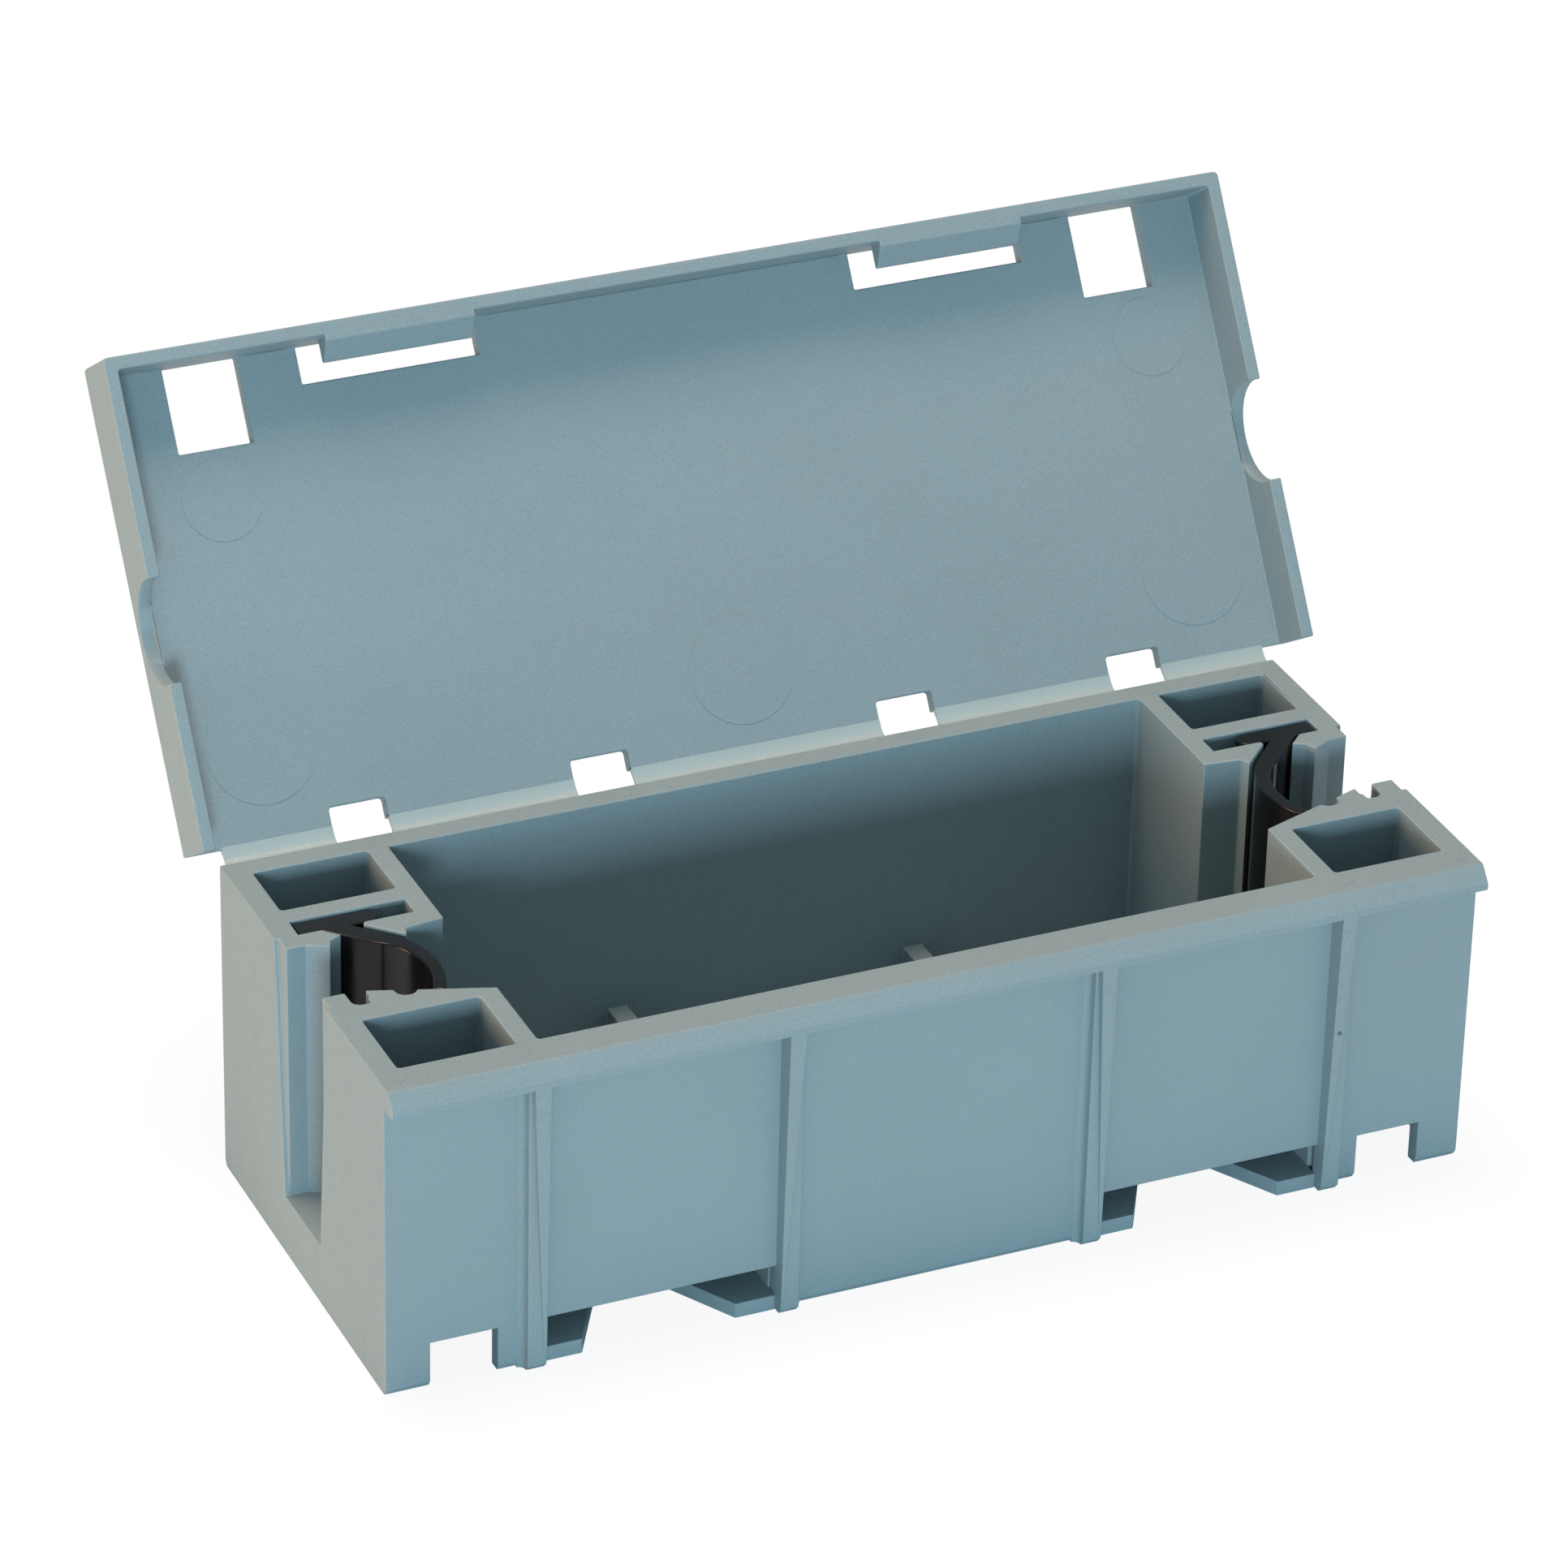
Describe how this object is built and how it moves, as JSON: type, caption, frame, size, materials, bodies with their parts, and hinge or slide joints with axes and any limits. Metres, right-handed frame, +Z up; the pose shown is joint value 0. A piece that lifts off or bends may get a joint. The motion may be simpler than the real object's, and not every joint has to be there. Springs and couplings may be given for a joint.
{
  "type": "cable junction box",
  "caption": "Slim open junction box for joining cables in line, with a lid on a film hinge, snap hooks, and a springy clamp at each cable entry.",
  "frame": {"origin": "on the surface that the box stands on, midway between its two screw seats, which is the middle of the tray's footprint", "axes": "+X along the tray to the right end, +Y from the snap side to the hinge side, +Z up out of the open tray"},
  "size_m": [0.0996, 0.0625, 0.0653],
  "materials": {
    "housing": "fine matte light blue-grey moulding",
    "film": "smooth stretched film of the housing's plastic",
    "clamp": "glossy black"
  },
  "bodies": {
    "tray": {"base_tray": "housing", "snap_lip": "housing", "front_ribs": "housing", "foot_skirt": "housing", "screw_slot_left": "housing", "screw_slot_right": "housing", "corner_post_front_left": "housing", "corner_post_front_right": "housing", "corner_post_back_left": "housing", "corner_post_back_right": "housing", "hinge_film_1": "film", "hinge_film_2": "film", "hinge_film_3": "film", "hinge_film_4": "film", "hinge_film_5": "film", "clamp_foot_left": "clamp", "clamp_foot_right": "clamp"},
    "lid": {"lid_panel": "housing", "lid_rim": "housing", "snap_hook_left": "housing", "snap_hook_right": "housing"},
    "left_arm": {"clamp_arm_left": "clamp"},
    "right_arm": {"clamp_arm_right": "clamp"}
  },
  "joints": [
    {"name": "lid_hinge", "type": "hinge", "parent": "tray", "child": "lid", "pos_m": [0, 0.0188, 0.0285], "axis": [-1, 0, 0], "range_deg": [-123, 57], "deforming": ["hinge_film_1", "hinge_film_2", "hinge_film_3", "hinge_film_4", "hinge_film_5"]},
    {"name": "left_clamp_flex", "type": "hinge", "parent": "tray", "child": "left_arm", "pos_m": [-0.0381, 0.00177, 0.017], "axis": [0, 0, 1], "range_deg": [0, 40], "stiffness_Nm_per_rad": 0.05},
    {"name": "right_clamp_flex", "type": "hinge", "parent": "tray", "child": "right_arm", "pos_m": [0.0381, 0.00177, 0.017], "axis": [0, 0, -1], "range_deg": [0, 40], "stiffness_Nm_per_rad": 0.05}
  ]
}
